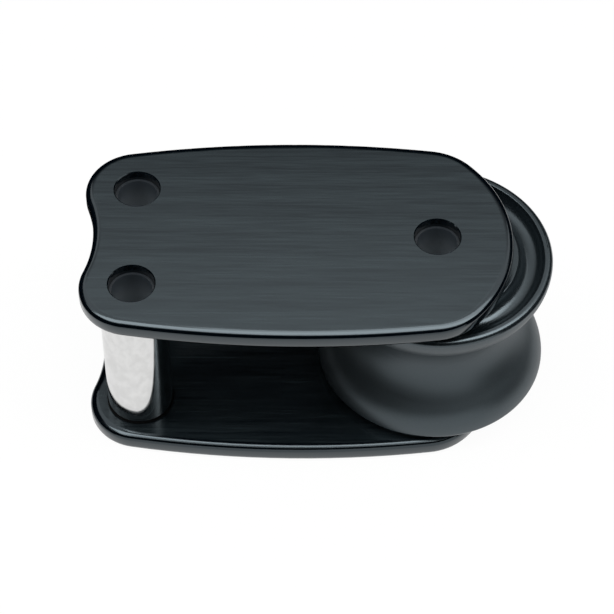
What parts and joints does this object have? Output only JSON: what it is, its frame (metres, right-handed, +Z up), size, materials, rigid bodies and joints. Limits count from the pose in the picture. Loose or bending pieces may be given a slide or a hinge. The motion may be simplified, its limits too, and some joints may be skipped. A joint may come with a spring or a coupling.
{
  "type": "foot block",
  "caption": "Deck foot block: a tall grooved sheave on roller and ball bearings turns between cheek plates held apart by hollow posts, and bolts down through them.",
  "frame": {"origin": "on the sheave axis at the underside of the base plate, where the axle's bolt enters the deck", "axes": "+X from the posts to the sheave end along the block, +Y to the rear post, +Z up from the deck along the bolts"},
  "size_m": [0.1508, 0.0816, 0.0661],
  "materials": {
    "plate_alloy": "brushed lengthwise, black hard anodised",
    "sheave_alloy": "bead blasted, black hard anodised, satin",
    "post_steel": "polished stainless steel",
    "bearing_steel": "turned and ground stainless steel",
    "washer_plastic": "black acetal",
    "roller_plastic": "olive brown bearing polymer",
    "cage_plastic": "black moulded plastic",
    "ball_plastic": "white acetal"
  },
  "bodies": {
    "frame": {"base_plate": "plate_alloy", "top_plate": "plate_alloy", "front_post": "post_steel", "rear_post": "post_steel", "front_post_upper_washer": "washer_plastic", "front_post_lower_washer": "washer_plastic", "rear_post_upper_washer": "washer_plastic", "rear_post_lower_washer": "washer_plastic", "axle_tube": "bearing_steel", "inner_race": "bearing_steel", "roller_spacer": "cage_plastic", "upper_thrust_race": "bearing_steel", "lower_thrust_race": "bearing_steel"},
    "sheave": {"sheave": "sheave_alloy"},
    "upper_roller_row": {"upper_rollers": "roller_plastic", "upper_roller_cage": "cage_plastic"},
    "lower_roller_row": {"lower_rollers": "roller_plastic", "lower_roller_cage": "cage_plastic"},
    "upper_ball_row": {"upper_side_balls": "ball_plastic", "upper_ball_cage": "cage_plastic"},
    "lower_ball_row": {"lower_side_balls": "ball_plastic", "lower_ball_cage": "cage_plastic"}
  },
  "joints": [
    {"name": "sheave_spin", "type": "hinge", "parent": "frame", "child": "sheave", "pos_m": [0, 0, 0.03305], "axis": [0, 0, 1], "continuous": true},
    {"name": "upper_roller_orbit", "type": "hinge", "parent": "frame", "child": "upper_roller_row", "pos_m": [0, 0, 0.03305], "axis": [0, 0, 1], "continuous": true},
    {"name": "lower_roller_orbit", "type": "hinge", "parent": "frame", "child": "lower_roller_row", "pos_m": [0, 0, 0.03305], "axis": [0, 0, 1], "continuous": true},
    {"name": "upper_ball_orbit", "type": "hinge", "parent": "frame", "child": "upper_ball_row", "pos_m": [0, 0, 0.03305], "axis": [0, 0, 1], "continuous": true},
    {"name": "lower_ball_orbit", "type": "hinge", "parent": "frame", "child": "lower_ball_row", "pos_m": [0, 0, 0.03305], "axis": [0, 0, 1], "continuous": true}
  ],
  "couplings": [
    {"joint": "upper_roller_orbit", "follows": "sheave_spin", "ratio": 0.57},
    {"joint": "lower_roller_orbit", "follows": "sheave_spin", "ratio": 0.57},
    {"joint": "upper_ball_orbit", "follows": "sheave_spin", "ratio": 0.5},
    {"joint": "lower_ball_orbit", "follows": "sheave_spin", "ratio": 0.5}
  ]
}
